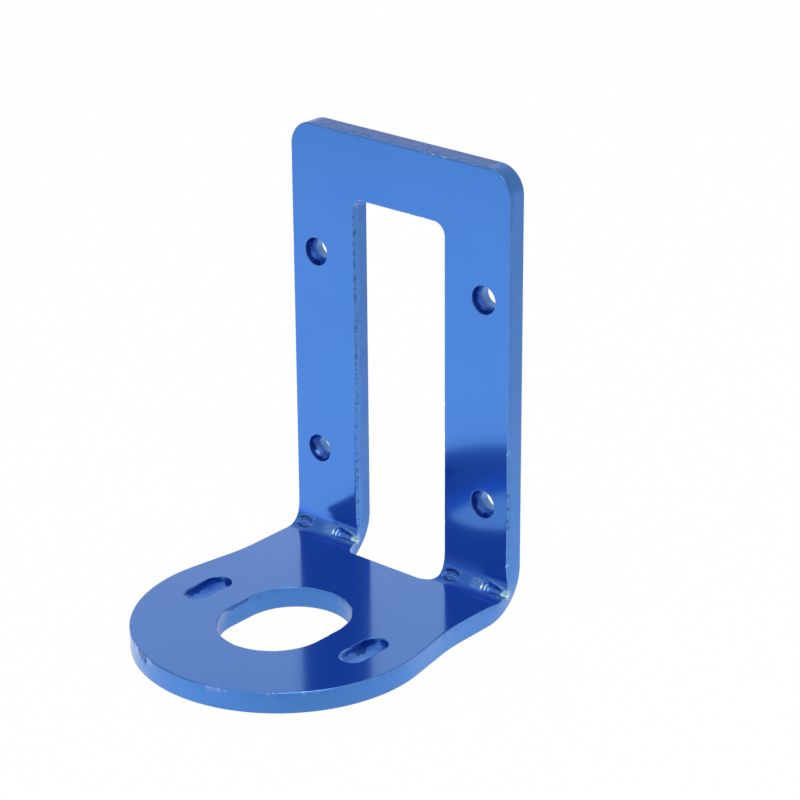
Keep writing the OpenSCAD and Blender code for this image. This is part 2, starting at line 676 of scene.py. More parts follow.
    def bare_and_highlight(self, u: Array, v: Array) -> Array:
        """Scratched metal and painted highlights of the marks, from 0 to 1, at each place.

        Args:
            u: Place across the leg, from 0 to 1.
            v: Place across the bend, from -1 to 1.

        Returns:
            The scratched metal and painted highlight at each place.
        """
        # The burrs at the crack, the lip of the groove and its end facet carry painted highlights.
        crack = bell(u, self.crack_u, 0.046) * bell(v, -0.02, 0.22)
        lump = bell(u, 0.25, 0.035) * bell(v, -0.03, 0.1)
        speck = bell(u, 0.3, 0.016) * bell(v, 0.4, 0.08)
        lip, _, end = self.groove(u)
        on_end = rise(u, 0.92, 0.04) * fall(v - lip, 0.04, 0.06) * rise(v, end, 0.08)
        along_lip = rise(u - self.crack_u, 0.02, 0.04) * (0.4 + 0.5 * rise(u, 0.8, 0.15))
        on_lip = along_lip * bell(v - lip, 0.02, 0.08)
        return np.clip(1.3 * crack + on_end + on_lip + 0.28 * lump + 0.5 * speck, 0, 1)

    def shade_and_darkening(self, u: Array, v: Array) -> Array:
        """Painted shade in the crack, round the lump and along the groove, from 0 to 1, at each place.

        Args:
            u: Place across the leg, from 0 to 1.
            v: Place across the bend, from -1 to 1.

        Returns:
            The darkness at each place.
        """
        _, foot, end = self.groove(u)
        ring = bell(self.around_lump(u, v), 0.74, 0.2) * rise(np.abs(v - self.lump[1]), 0.1, 0.15)
        border = bell(v - end, -0.03, 0.05) * self.opened(u)
        shade = rise(v, foot, 0.06) * fall(v, 0.5, 0.1) * self.opened(u) * fall(u, 0.97, 0.06)
        return np.clip(2.4 * self.crack(u, v) + 0.85 * ring + 0.8 * border + 0.35 * shade, 0, 1)

    def drawn(self, v: Array) -> Array:
        """How far the fold stretched the skin, from 0 to 1, at each place."""
        return band(v, 0.0, 1.2, 0.5)


@dataclass(frozen=True)
class Knock:
    """A knock on a cut edge of the blank, in millimetres.

    Args:
        x: Its place across the blank.
        y: Its place along the blank.
        reach: How far it spreads.
        deep: How far it presses the edge in.
        bare_and_highlight: How far it scratches the anodising off, and on the window's top-left corner paints
            a
        highlight; below zero, how far it darkens the edge, with painted shade along the window's top edge; 1
        is fully, and more than 1 widens what is fully lightened or dark.
        down: How far below the face its middle lies.
        least_down: How far down the wall even the smallest knock reaches.
        reach_down: How much further it reaches, as a share of its spread.
    """

    x: float
    y: float
    reach: float
    deep: float
    bare_and_highlight: float
    down: float = 0.0
    least_down: float = 0.15
    reach_down: float = 1.2

    def weight(self, spots: Array) -> Array:
        """How much of the knock each point takes.

        Args:
            spots: The points.

        Returns:
            A share from 0 to 1 for each.
        """
        away = np.hypot(spots[:, 0] - self.x, spots[:, 1] - self.y) / self.reach
        down = (spots[:, 2] + self.down) / (self.least_down + self.reach_down * self.reach)
        return np.exp(-(away**2) - down**2)


# Place across and along, reach, depth, lightening (darkening below zero) and place down of each knock
KNOCKS = tuple(Knock(*row) for row in (
    (-7.65, -38.1, 0.2, 0.14, -2.2), (-7.2, -38.35, 0.17, 0.12, -2.2, 0.2),
    (-6.65, -38.6, 0.2, 0.16, -2.2, 0.4), (-6.0, -38.85, 0.24, 0.16, -2.2, 0.55),
    (-6.95, -38.45, 0.1, 0.02, 1.0), (-6.4, -38.7, 0.12, 0.02, 0.8, 0.2),
    (-8.2, -37.9, 0.25, 0.1, 0.7, 0.1), (-9.1, -37.4, 0.8, 0.14, 0.4), (-5.4, -39.0, 0.6, 0.14, 0.35),
    (4.5, -39.25, 0.22, 0.04, 0.7), (5.1, -39.1, 0.3, 0.03, 0.45), (5.8, -38.85, 0.25, 0.03, 0.7),
    (6.5, -38.6, 0.2, 0.04, 0.4), (10.9, -36.2, 0.15, 0.04, 0.7), (11.5, -35.7, 0.12, 0.04, 0.5),
    (13.9, -33.4, 0.35, 0.05, 0.3), (14.8, -32.2, 0.25, 0.05, 0.2), (17.7, -25.9, 0.2, 0.04, 0.3),
    (16.75, 13.8, 0.2, 0.16, -0.9), (16.75, 12.1, 0.2, 0.14, -0.7), (16.75, 10.5, 0.25, 0.18, -0.9),
    (16.75, 9.6, 0.2, 0.15, -0.9), (16.75, 19.1, 0.18, 0.08, 0.9), (16.75, 4.5, 0.22, 0.1, 0.9),
    (-6.5, -2.2, 0.7, 0.12, 0.5), (-5.6, -2.8, 0.4, 0.1, 0.6), (4.6, -14.8, 0.5, 0.08, 0.35),
    # (-6.15, 45.45) paints a highlight at the window's top-left corner.
    (6.1, -16.9, 0.8, 0.1, 0.4), (-6.7, -25.0, 1.1, 0.06, 0.3), (-6.15, 45.45, 0.75, 0.02, 1.3),
    # (1.6, 45.6) and (3.9, 45.6) paint shade along the window's top edge.
    (10.85, -22.9, 0.8, 0.07, 0.3), (10.85, -21.7, 0.3, 0.05, 0.4), (1.6, 45.6, 0.25, 0.06, -0.9),
    (3.9, 45.6, 0.22, 0.06, -0.9),
))


def smooth(share: Array) -> Array:
    """Smooth step of a share that may lie outside 0 to 1."""
    held = np.clip(share, 0, 1)
    return held * held * (3 - 2 * held)


def rise(value: Array, start: float | Array, width: float) -> Array:
    """Smooth step from 0 at a start up to 1 a width beyond it."""
    return smooth((value - start) / width)


def fall(value: Array, end: float | Array, width: float | Array) -> Array:
    """Smooth step from 1 a width before an end down to 0 at it."""
    return smooth((end - value) / width)


def bell(value: Array, middle: float, reach: float) -> Array:
    """Soft bump that is 1 at its middle and about a third at its reach."""
    return np.exp(-(((value - middle) / reach) ** 2))


def band(value: Array, middle: float, half: float, fade: float) -> Array:
    """Smooth band round a middle that has faded out at its half width."""
    return fall(np.abs(value - middle), half, fade)


class Blank:
    """The flat blank as one closed mesh, with the attributes that the fold and the finishes read.

    Distances are in millimetres, and the clearance from an edge is a share of the grid's. The margins say how
    far beyond a leg and beyond the bend the tool's marks reach, as shares of the leg's width and of half the
    bend. The right side is the slope of the outward direction over which a side counts as a right one.
    """

    grid: float = 0.09
    back_grid: float = 0.25
    clearance: float = 0.75
    batch: int = 50
    merged_within: float = 1e-7
    least_area: float = 1e-9
    leg_margin: float = 0.1
    bend_margin: float = 0.8
    right_side: Point = (0.2, 0.6)

    def __init__(self, sheet: Sheet, profile: EdgeProfile, marks: PressMarks) -> None:
        """Keeps the sizes and draws the outlines.

        Args:
            sheet: Sizes of the sheet.
            profile: Section of a cut edge.
            marks: Marks of the bending tool.
        """
        self.sheet = sheet
        self.profile = profile
        self.marks = marks
        self.outlines = Piercings(sheet).all()
        self.spots: list[Array] = []
        self.faces: list[tuple[int, ...]] = []
        self.on_wall: list[bool] = []
        names = ("out", "wall", "torn", "wear_and_highlight", "rolled", "dye", "dull", "pale")
        self.rows: dict[str, list[Array]] = {name: [] for name in names}
        self.count = 0

    def _add(self, spots: Array, **amounts: Array) -> Array:
        """Adds points with their attributes.

        Args:
            spots: The points, in millimetres.
            amounts: The attributes that aren't zero.

        Returns:
            The numbers that the points have in the mesh.
        """
        self.spots.append(spots)
        for name, row in self.rows.items():
            empty = np.zeros((len(spots), 3)) if name == "out" else np.zeros(len(spots))
            row.append(empty + amounts.get(name, 0.0))
        self.count += len(spots)
        return np.arange(self.count - len(spots), self.count)

    def _edge(self, outline: Outline) -> tuple[Array, Array]:
        """Builds the cut edge along one outline.

        Args:
            outline: The outline.

        Returns:
            The numbers of the points of its first row, on the face, and of its last, on the back.
        """
        flat = outline.as_array()
        out = outline.outward()
        names = ("torn", "roll", "wear_and_highlight", "taper", "pooled", "dull", "pale")
        torn, roll, wear_and_highlight, taper, pooled, dull, pale = (outline.amounts(name) for name in names)
        out_3d = np.column_stack([out, np.zeros(len(flat))])
        rings = self.profile.rings(roll, taper, self.sheet.thick)
        rows = []
        for ring in rings:
            spots = np.column_stack([flat - out * ring.inset[:, None], -ring.deep])
            # Each opening's mouth carries its painted shade, and each rolled-over row its wear and painted
            # highlight.
            amounts = {"torn": torn, "wear_and_highlight": wear_and_highlight * ring.rolled, "dye": pooled, "dull": dull, "pale": pale}
            rows.append(self._add(spots, out=out_3d, wall=float(ring.wall), rolled=ring.rolled, **amounts))
        for k in range(len(rows) - 1):
            upper, lower = rows[k], rows[k + 1]
            for a, b, c, d in zip(upper, lower, np.roll(lower, -1), np.roll(upper, -1)):
                self.faces.append((int(a), int(b), int(c), int(d)))
                self.on_wall.append(rings[k].wall)
        return rows[0], rows[-1]

    def _grid_points(self, rings: list[Array], spacing: float) -> Array:
        """Points that the bend needs inside one face, clear of its edges.

        Args:
            rings: The numbers of the points round each of the face's edges.
            spacing: Distance between two points.

        Returns:
            The points, as rows of x and y.
        """
        half = self.sheet.body_w / 2
        reach = self.sheet.bend_half
        across = np.linspace(-half, half, round(2 * half / spacing) + 1)
        along = np.linspace(-reach, reach, round(2 * reach / spacing) + 1)
        along = np.concatenate([[-reach - spacing], along, [reach + spacing]])
        place = np.stack(np.meshgrid(across, along), -1).reshape(-1, 2)
        edges = [self._flat(r) for r in rings]
        near = np.concatenate([e[np.abs(e[:, 1]) < 2 * reach] for e in edges])
        clear = np.ones(len(place), bool)
        for k in range(0, len(near), self.batch):
            away = np.abs(place[:, None] - near[None, k : k + self.batch])
            clear &= (np.hypot(away[..., 0], away[..., 1]) > self.clearance * spacing).all(1)
        place = place[clear]
        return place[inside(place, edges)]

    def _flat(self, numbers: Array) -> Array:
        """Places on the blank of numbered points."""
        return np.concatenate(self.spots)[numbers][:, :2]

    def _face(self, rings: list[Array], spacing: float, deep: float) -> None:
        """Fills the face or the back between the edges.

        Args:
            rings: The numbers of the points round each edge.
            spacing: Distance between the points inside the bend.
            deep: Depth of the face in the sheet.
        """
        inner = self._grid_points(rings, spacing)
        inner_numbers = self._add(np.column_stack([inner, np.full(len(inner), -deep)]))
        numbers = np.concatenate([*rings, inner_numbers])
        place = self._flat(numbers)
        bounds = []
        first = 0
        for ring in rings:
            bounds += [(first + k, first + (k + 1) % len(ring)) for k in range(len(ring))]
            first += len(ring)
        made = delaunay_2d_cdt([Vector(p) for p in place], bounds, [], 0, self.merged_within)
        origin = [numbers[o[0]] for o in made[3]]
        triangles = np.array([t for t in made[2]])
        corners = np.array([tuple(v) for v in made[0]])[triangles]
        kept = inside(corners.mean(1), [self._flat(r) for r in rings])
        a, b, c = corners[:, 0], corners[:, 1], corners[:, 2]
        turn = (b[:, 0] - a[:, 0]) * (c[:, 1] - a[:, 1]) - (b[:, 1] - a[:, 1]) * (c[:, 0] - a[:, 0])
        upwards = deep == 0
        for triangle, keep, area in zip(triangles, kept, turn):
            if keep and abs(area) > self.least_area:
                order = triangle if (area > 0) == upwards else triangle[::-1]
                self.faces.append(tuple(int(origin[v]) for v in order))
                self.on_wall.append(False)

    def _press(self, spots: Array, out: Array) -> tuple[Array, dict[str, Array]]:
        """Presses the tool's marks into the bend and lets its right ends bulge.

        Args:
            spots: All the points of the blank.
            out: Direction out of the metal at each.

        Returns:
            The pressed points, and the attributes that say how grainy each is, how far it is scratched to the
            metal and painted bright, how far painted shade and dark knocks darken it, and how stretched it
            is.
        """
        s = self.sheet
        marks = self.marks
        outer, inner = s.body_w / 2, s.window_w / 2
        leg = outer - inner
        x, y, deep = spots[:, 0], spots[:, 1], -spots[:, 2] / s.thick
        u = np.where(x < 0, (x + outer) / leg, (x - inner) / leg)
        v = y / s.bend_half / (1 - 2 * s.lead_in / s.inside_l)
        on_leg = (np.abs(u - 0.5) < 0.5 + self.leg_margin) & (np.abs(v) < 1 + self.bend_margin)
        near_face = np.where(on_leg, np.clip(1 - deep, 0, 1) ** 2, 0)
        swell = marks.bulge * bell(y, *marks.bulge_band) * np.clip(1 - marks.bulge_fade * deep, 0, 1)
        push = swell * rise(out[:, 0], *self.right_side)
        # The marks give grain, scratched metal with painted highlights, painted shade and stretch.
        given = {
            "press": marks.rough(u, v) * near_face,
            "bare_and_highlight": marks.bare_and_highlight(u, v) * near_face,
            "shade_and_darkening": marks.shade_and_darkening(u, v) * near_face,
            "drawn": marks.drawn(v) * near_face,
        }
        on_edge = np.maximum(np.concatenate(self.rows["rolled"]), np.concatenate(self.rows["wall"]))
        # A knock lightens the edge, or darkens it below zero; some are painted highlights and painted shade.
        for knock in KNOCKS:
            weight = knock.weight(spots) * on_edge
            push -= knock.deep * weight
            given["press"] += weight
            given["bare_and_highlight"] += max(knock.bare_and_highlight, 0) * weight
            given["shade_and_darkening"] += max(-knock.bare_and_highlight, 0) * weight
        moved = spots + out * push[:, None]
        moved[:, 2] += marks.height(u, v) * near_face
        return moved, {name: np.clip(row, 0, 1) for name, row in given.items()}

    def build(self) -> bpy.types.Object:
        """Builds the blank.

        Returns:
            An object that holds the blank, in metres.
        """
        pairs = [self._edge(outline) for outline in self.outlines]
        self._face([p[0] for p in pairs], self.grid, 0.0)
        self._face([p[1] for p in pairs], self.back_grid, self.sheet.thick)
        spots = np.concatenate(self.spots)
        out = np.concatenate(self.rows["out"])
        deep = -spots[:, 2] / self.sheet.thick
        spots, pressed = self._press(spots, out)
        mesh = bpy.data.meshes.new(NODE)
        mesh.from_pydata((spots * MM).tolist(), [], self.faces)
        mesh.attributes.new("out", "FLOAT_VECTOR", "POINT").data.foreach_set("vector", out.ravel())
        point_rows = {n: np.concatenate(row) for n, row in self.rows.items() if n != "out"}
        point_rows |= {"deep": deep, **pressed}
        for name, row in point_rows.items():
            mesh.attributes.new(name, "FLOAT", "POINT").data.foreach_set("value", row)
        mesh.attributes.new("on_wall", "BOOLEAN", "FACE").data.foreach_set("value", self.on_wall)
        mesh.polygons.foreach_set("use_smooth", [True] * len(mesh.polygons))
        mesh.update()
        blank = put_in_scene(NODE + "_blank", mesh)
        log.info("blank: %d points, %d faces", len(mesh.vertices), len(mesh.polygons))
        return blank


def inside(place: Array, edges: list[Array]) -> Array:
    """Tells which places lie on the metal.

    Args:
        place: The places, as rows of x and y.
        edges: The points of each closed edge, the outer one and those of the openings.

    Returns:
        True for each place on the metal.
    """
    starts = np.concatenate(edges)
    ends = np.concatenate([np.roll(e, -1, 0) for e in edges])
    odd = np.zeros(len(place), bool)
    batch = 2000
    for k in range(0, len(place), batch):
        x, y = place[k : k + batch, 0:1], place[k : k + batch, 1:2]
        spans = (starts[:, 1] > y) != (ends[:, 1] > y)
        rise_y = np.where(spans, ends[:, 1] - starts[:, 1], 1)
        cross = starts[:, 0] + (y - starts[:, 1]) * (ends[:, 0] - starts[:, 0]) / rise_y
        odd[k : k + batch] = (spans & (x < cross)).sum(1) % 2 == 1
    return odd


def put_in_scene(name: str, data: bpy.types.ID) -> bpy.types.Object:
    """Makes an object and puts it in the scene.

    Args:
        name: Name of the object.
        data: Its mesh, light or camera.

    Returns:
        The object.
    """
    made = bpy.data.objects.new(name, data)
    bpy.context.scene.collection.objects.link(made)
    return made


class Wiring:
    """Adds nodes to one tree and joins them, so that a formula reads as one."""

    def __init__(self, tree: bpy.types.NodeTree) -> None:
        """Keeps the tree."""
        self.tree = tree

    def node(self, kind: str, values: dict[int | str, Value] | None = None, **settings: Value) -> Node:
        """Adds a node.

        Args:
            kind: The node's type.
            values: What its inputs are fed, by number or name.
            settings: Its own settings.

        Returns:
            The node.
        """
        made = self.tree.nodes.new(kind)
        for name, value in settings.items():
            setattr(made, name, value)
        self.fill(made, values or {})
        return made

    def fill(self, node: Node, values: dict[int | str, Value]) -> None:
        """Feeds several inputs of a node, by number or name."""
        for socket, value in values.items():
            self.feed(node.inputs[socket], value)

    def feed(self, socket: Socket, value: Value) -> None:
        """Links a socket to another or sets its value.

        Args:
            socket: The socket of an input.
            value: The socket that it is linked to, or its value.
        """
        if isinstance(value, Socket):
            self.tree.links.new(value, socket)
        else:
            socket.default_value = value

    def math(self, operation: str, *values: Value) -> Socket:
        """Adds a sum on numbers and gives its result."""
        return self.node("ShaderNodeMath", dict(enumerate(values)), operation=operation).outputs[0]

    def chain(self, operation: str, *values: Value) -> Socket:
        """Adds a sum on two numbers, another on its result and the next number, and so on.

        Args:
            operation: The sum.
            values: The numbers.

        Returns:
            The result of the last sum.
        """
        result = values[0]
        for value in values[1:]:
            result = self.math(operation, result, value)
        return result

    plus = partialmethod(chain, "ADD")
    minus = partialmethod(chain, "SUBTRACT")
    times = partialmethod(chain, "MULTIPLY")
    over = partialmethod(chain, "DIVIDE")
    most = partialmethod(chain, "MAXIMUM")
    least = partialmethod(chain, "MINIMUM")
    times_plus = partialmethod(math, "MULTIPLY_ADD")

    def vector(self, operation: str, *values: Value) -> Socket:
        """Adds a sum on vectors and gives its vector."""
        return self.node("ShaderNodeVectorMath", dict(enumerate(values)), operation=operation).outputs[0]

    def distance(self, place: Value, other: Value) -> Socket:
        """Distance between two places."""
        made = self.node("ShaderNodeVectorMath", {0: place, 1: other}, operation="DISTANCE")
        return made.outputs["Value"]

    def scaled(self, vector: Value, factor: Value) -> Socket:
        """A vector times a number."""
        made = self.node("ShaderNodeVectorMath", {0: vector, "Scale": factor}, operation="SCALE")
        return made.outputs[0]

    def ramp(self, value: Value, low: Value, high: Value, start: Value = 0.0, end: Value = 1.0) -> Socket:
        """Turns a range of a number smoothly into another.

        Args:
            value: The number.
            low: Where the range starts.
            high: Where it ends.
            start: The result at its start.
            end: The result at its end.

        Returns:
            The result.
        """
        values = {"Value": value, "From Min": low, "From Max": high, "To Min": start, "To Max": end}
        return self.node("ShaderNodeMapRange", values, interpolation_type="SMOOTHSTEP").outputs["Result"]

    def noise(self, place: Value, scale: Value, detail: float, seed: Value = 0.0) -> Socket:
        """Noise from 0 to 1 at a place."""
        values = {"Vector": place, "W": seed, "Scale": scale, "Detail": detail}
        return self.node("ShaderNodeTexNoise", values, noise_dimensions="4D").outputs[0]

    def blend(self, share: Value, first: Value, second: Value) -> Socket:
        """Mixes two colours."""
        # A mix node has one set of inputs for each kind of value: 6 and 7, and output 2, are its colours
        return self.node("ShaderNodeMix", {0: share, 6: first, 7: second}, data_type="RGBA").outputs[2]


class FoldTree:
    """The node tree that roughens the cut edges of the blank and folds it.

    A pattern of noise is given by its scale, its detail and, where it swings both ways, its middle level.

    Lengths are in millimetres, and the border between sheared and torn metal lies at shares of the thickness:
    how much it wavers, and its least depth. The streaks' height is a share of the tear's.
    """

    coarse: Triple = (2.6, 3.0, 0.62)
    streaks: Triple = (3.4, 1.0, 0.62)
    streak_high: float = 0.35
    slow: Triple = (0.3, 1.0, 0.65)
    grain: Triple = (3.6, 1.0, 0.5)
    border: Point = (0.42, 2.0)
    border_deep: Point = (0.5, 0.12)
    border_width: float = 0.07
    chips: Point = (1.1, 2.0)
    chip_range: Point = (0.56, 0.66)

    def __init__(self, sheet: Sheet) -> None:
        """Makes the tree and notes what its inputs are given.

        Args:
            sheet: Sizes of the sheet.
        """
        self.tree = bpy.data.node_groups.new("fold_sheet", "GeometryNodeTree")
        self.wiring = Wiring(self.tree)
        self.sizes = {
            "Thickness": sheet.thick,
            "Inside Radius": sheet.inside_r,
            "Outside Radius": sheet.outside_r,
            "Bend Half": sheet.bend_half,
            "Underside": sheet.underside_z,
            "Tear": 0.13,
            "Wave": 0.1,
            "Chip": 0.1,
            "Seed": 3.0,
        }
        self.sockets: dict[str, str] = {}
        self._interface()
        self._wire()

    def _interface(self) -> None:
        """Gives the tree its output and its named inputs."""
        face = self.tree.interface
        for way in ("OUTPUT", "INPUT"):
            face.new_socket(name="Geometry", in_out=way, socket_type="NodeSocketGeometry")
        kinds = {name: "NodeSocketFloat" for name in self.sizes}
        kinds |= {"Face Finish": "NodeSocketMaterial", "Edge Finish": "NodeSocketMaterial"}
        for name, kind in kinds.items():
            self.sockets[name] = face.new_socket(name=name, in_out="INPUT", socket_type=kind).identifier

    def _attribute(self, name: str, kind: str = "FLOAT") -> Socket:
        """A named attribute of the blank."""
        made = self.wiring.node("GeometryNodeInputNamedAttribute", {"Name": name}, data_type=kind)
        return made.outputs["Attribute"]

    def _store(self, mesh: Value, name: str, value: Value, kind: str = "FLOAT") -> Socket:
        """Stores an attribute on the mesh.

        Args:
            mesh: The mesh.
            name: Name of the attribute.
            value: Its value at each point.
            kind: The kind of value.

        Returns:
            The mesh with the attribute.
        """
        values = {"Geometry": mesh, "Name": name, "Value": value}
        made = self.wiring.node("GeometryNodeStoreNamedAttribute", values, data_type=kind)
        return made.outputs["Geometry"]

    def _swing(self, place: Value, pattern: Triple, seed: Value) -> Socket:
        """Noise that swings both ways about its middle level."""
        scale, detail, middle = pattern
        return self.wiring.minus(self.wiring.noise(place, scale, detail, seed), middle)

    def _torn(self, given: Given, flat: Value) -> Socket:
        """How far each point lies in the torn part of its wall, past a wavering border.

        Args:
            given: The inputs of the tree.
            flat: Place on the blank.

        Returns:
            A share from 0 to 1.
        """
        w = self.wiring
        border = w.times_plus(w.noise(flat, *self.border, given["Seed"]), *self.border_deep)
        past = w.minus(self._attribute("deep"), border)
        inside_wall = w.times(self._attribute("wall"), self._attribute("torn"))
        return w.times(w.ramp(past, 0.0, self.border_width), inside_wall)

    def _edge_offset(self, given: Given, flat: Value, torn: Value) -> Socket:
        """How far the wall stands out with its tear, streaks, slow waves and chips.

        Args:
            given: The inputs of the tree.
            flat: Place on the blank.
            torn: How far the point is torn.

        Returns:
            The distance in millimetres.
        """
        w = self.wiring
        seed = given["Seed"]
        tear = w.times(self._swing(flat, self.coarse, seed), torn, given["Tear"])
        streak = self._swing(w.vector("MULTIPLY", flat, THROUGH_SHEET), self.streaks, seed)
        held = w.times(self._attribute("wall"), self._attribute("torn"))
        streaks = w.times(streak, held, w.times(given["Tear"], self.streak_high))
        waves = w.times(self._swing(flat, self.slow, seed), self._attribute("wall"), given["Wave"])
        chips = w.times(self._attribute("chip"), w.times(given["Chip"], -1.0))
        return w.plus(w.plus(tear, streaks), w.plus(waves, chips))

    def _folded(self, given: Given, flat: Value) -> Socket:
        """Carries a place on the blank to its place on the folded part.

        Args:
            given: The inputs of the tree.
            flat: Place on the blank.

        Returns:
            The place in millimetres.
        """
        w = self.wiring
        names = ("Thickness", "Inside Radius", "Outside Radius", "Bend Half")
        thick, inner, outer, half = (given[name] for name in names)
        parts = w.node("ShaderNodeSeparateXYZ", {0: flat}).outputs
        x, s, z = parts[0], parts[1], parts[2]
        whole = w.times(half, 2.0)
        run = w.plus(s, half)
        turned = w.over(run, whole)
        share = w.least(w.most(turned, 0.0), 1.0)
        before = w.least(run, 0.0)
        beyond = w.most(w.minus(s, half), 0.0)
        quarter = math.pi / 2
        angle = w.times(share, quarter)
        back_y = w.times(outer, w.minus(w.math("SINE", angle), 1.0))
        back_z = w.times(outer, w.minus(1.0, w.math("COSINE", angle)))
        lead = w.minus(w.minus(outer, thick), inner)
        arc_l = w.times(inner, quarter)
        inside_l = w.times_plus(lead, 2.0, arc_l)
        gone = w.times(share, inside_l)
        first = w.least(gone, lead)
        on_arc = w.most(w.minus(gone, lead), 0.0)
        inner_angle = w.least(w.over(on_arc, inner), quarter)
        last = w.most(w.minus(on_arc, arc_l), 0.0)
        face_y = w.times_plus(inner, w.math("SINE", inner_angle), w.minus(first, outer))
        arc_z = w.times(inner, w.minus(1.0, w.math("COSINE", inner_angle)))
        face_z = w.plus(w.plus(thick, arc_z), last)
        depth = w.over(w.times(z, -1.0), thick)
        y = w.times_plus(w.minus(back_y, face_y), depth, face_y)
        up = w.times_plus(w.minus(back_z, face_z), depth, face_z)
        y = w.plus(y, before)
        up = w.plus(w.plus(up, beyond), given["Underside"])
        return w.node("ShaderNodeCombineXYZ", {0: x, 1: y, 2: up}).outputs[0]

    def _wire(self) -> None:
        """Joins the whole tree."""
        w = self.wiring
        given = w.node("NodeGroupInput").outputs
        place = w.node("GeometryNodeInputPosition").outputs[0]
        flat = w.scaled(place, 1 / MM)
        mesh = self._store(given["Geometry"], "flat", flat, "FLOAT_VECTOR")
        flat = self._attribute("flat", "FLOAT_VECTOR")
        mesh = self._store(mesh, "rent", self._torn(given, flat))
        chips = w.ramp(w.noise(flat, *self.chips, given["Seed"]), *self.chip_range)
        mesh = self._store(mesh, "chip", w.times(chips, self._attribute("wear_and_highlight")))
        offset = self._edge_offset(given, flat, self._attribute("rent"))
        lift = w.times(self._swing(flat, self.grain, given["Seed"]), self._attribute("press"), given["Tear"])
        rough = w.vector("ADD", flat, w.scaled(self._attribute("out", "FLOAT_VECTOR"), offset))
        rough = w.vector("ADD", rough, w.node("ShaderNodeCombineXYZ", {2: lift}).outputs[0])
        folded = w.scaled(self._folded(given, rough), MM)
        mesh = w.node("GeometryNodeSetPosition", {"Geometry": mesh, "Position": folded}).outputs[0]
        mesh = w.node("GeometryNodeRealizeInstances", {"Geometry": mesh}).outputs[0]
        finished = w.node("GeometryNodeSetMaterial", {"Geometry": mesh, "Material": given["Face Finish"]})
        on_wall = self._attribute("on_wall", "BOOLEAN")
        values = {"Geometry": finished.outputs[0], "Selection": on_wall, "Material": given["Edge Finish"]}
        edged = w.node("GeometryNodeSetMaterial", values)
        end = w.node("NodeGroupOutput")
        w.feed(end.inputs[0], edged.outputs[0])

    def fold(self, blank: bpy.types.Object, face: Material, edge: Material) -> bpy.types.Object:
        """Folds the blank and turns the result into a plain mesh.

        Args:
            blank: The object with the flat blank, which is removed.
            face: Finish of the faces.
            edge: Finish of the cut walls.

        Returns:
            The folded piece.
        """
        modifier = blank.modifiers.new("fold", "NODES")
        modifier.node_group = self.tree
        values = self.sizes | {"Face Finish": face, "Edge Finish": edge}
        for name, value in values.items():
            modifier[self.sockets[name]] = value
        graph = bpy.context.evaluated_depsgraph_get()
        mesh = bpy.data.meshes.new_from_object(blank.evaluated_get(graph))
        bpy.data.objects.remove(blank)
        mesh.name = NODE + "_dressed"
        return put_in_scene(mesh.name, mesh)


class ShaderGroup:
    """Shader node groups that more than one finish uses.

    Attributes:
        grain_detail: How much fine detail the grain holds.
        cloud_detail: The same of its clouds.
        cloud_range: Levels of noise between which a cloud begins.
    """

    grain_detail: float = 4.0
    cloud_detail: float = 2.0
    cloud_range: Point = (0.3, 0.7)

    @staticmethod
    def start(name: str, inputs: dict[str, float], outputs: tuple[str, ...]) -> tuple[Wiring, Node, Node]:
        """Makes an empty group with a place as its first input.

        Args:
            name: Name of the group.
            inputs: Its number inputs with their defaults.
            outputs: Its number outputs.

        Returns:
            The wiring of the group, its input node and its output node.
        """
        tree = bpy.data.node_groups.new(name, "ShaderNodeTree")
        tree.interface.new_socket(name="Place", in_out="INPUT", socket_type="NodeSocketVector")
        for key, value in inputs.items():
            made = tree.interface.new_socket(name=key, in_out="INPUT", socket_type="NodeSocketFloat")
            made.default_value = value
        for key in outputs:
            tree.interface.new_socket(name=key, in_out="OUTPUT", socket_type="NodeSocketFloat")
        wiring = Wiring(tree)
        return wiring, wiring.node("NodeGroupInput"), wiring.node("NodeGroupOutput")

    @classmethod
    def grain(cls) -> bpy.types.NodeTree:
        """Fine grain of the metal under its anodised skin: a height and a tone.

        Returns:
            The group, with the outputs Height and Tone.
        """
        w, given, out = cls.start("metal_grain", {"Size": 4.0, "Cloud": 0.1}, ("Height", "Tone"))
        place, size, cloud = given.outputs["Place"], given.outputs["Size"], given.outputs["Cloud"]
        w.feed(out.inputs["Height"], w.noise(place, size, cls.grain_detail))
        w.feed(out.inputs["Tone"], w.ramp(w.noise(place, cloud, cls.cloud_detail), *cls.cloud_range))
        return w.tree

    @classmethod
    def specks(cls) -> bpy.types.NodeTree:
        """Small scattered specks: a mask that is 1 on each speck.

        Returns:
            The group, with the output Mask.
        """
        w, given, out = cls.start("specks", {"Size": 1.0, "Share": 0.12, "Seed": 0.0}, ("Mask",))
        place = w.scaled(given.outputs["Place"], given.outputs["Size"])
        values = {"Vector": place, "W": given.outputs["Seed"], "Scale": 1.0}
        cell = w.node("ShaderNodeTexVoronoi", values, voronoi_dimensions="4D")
        near = w.ramp(cell.outputs["Distance"], given.outputs["Share"], 0.0)
        w.feed(out.inputs["Mask"], near)
        return w.tree


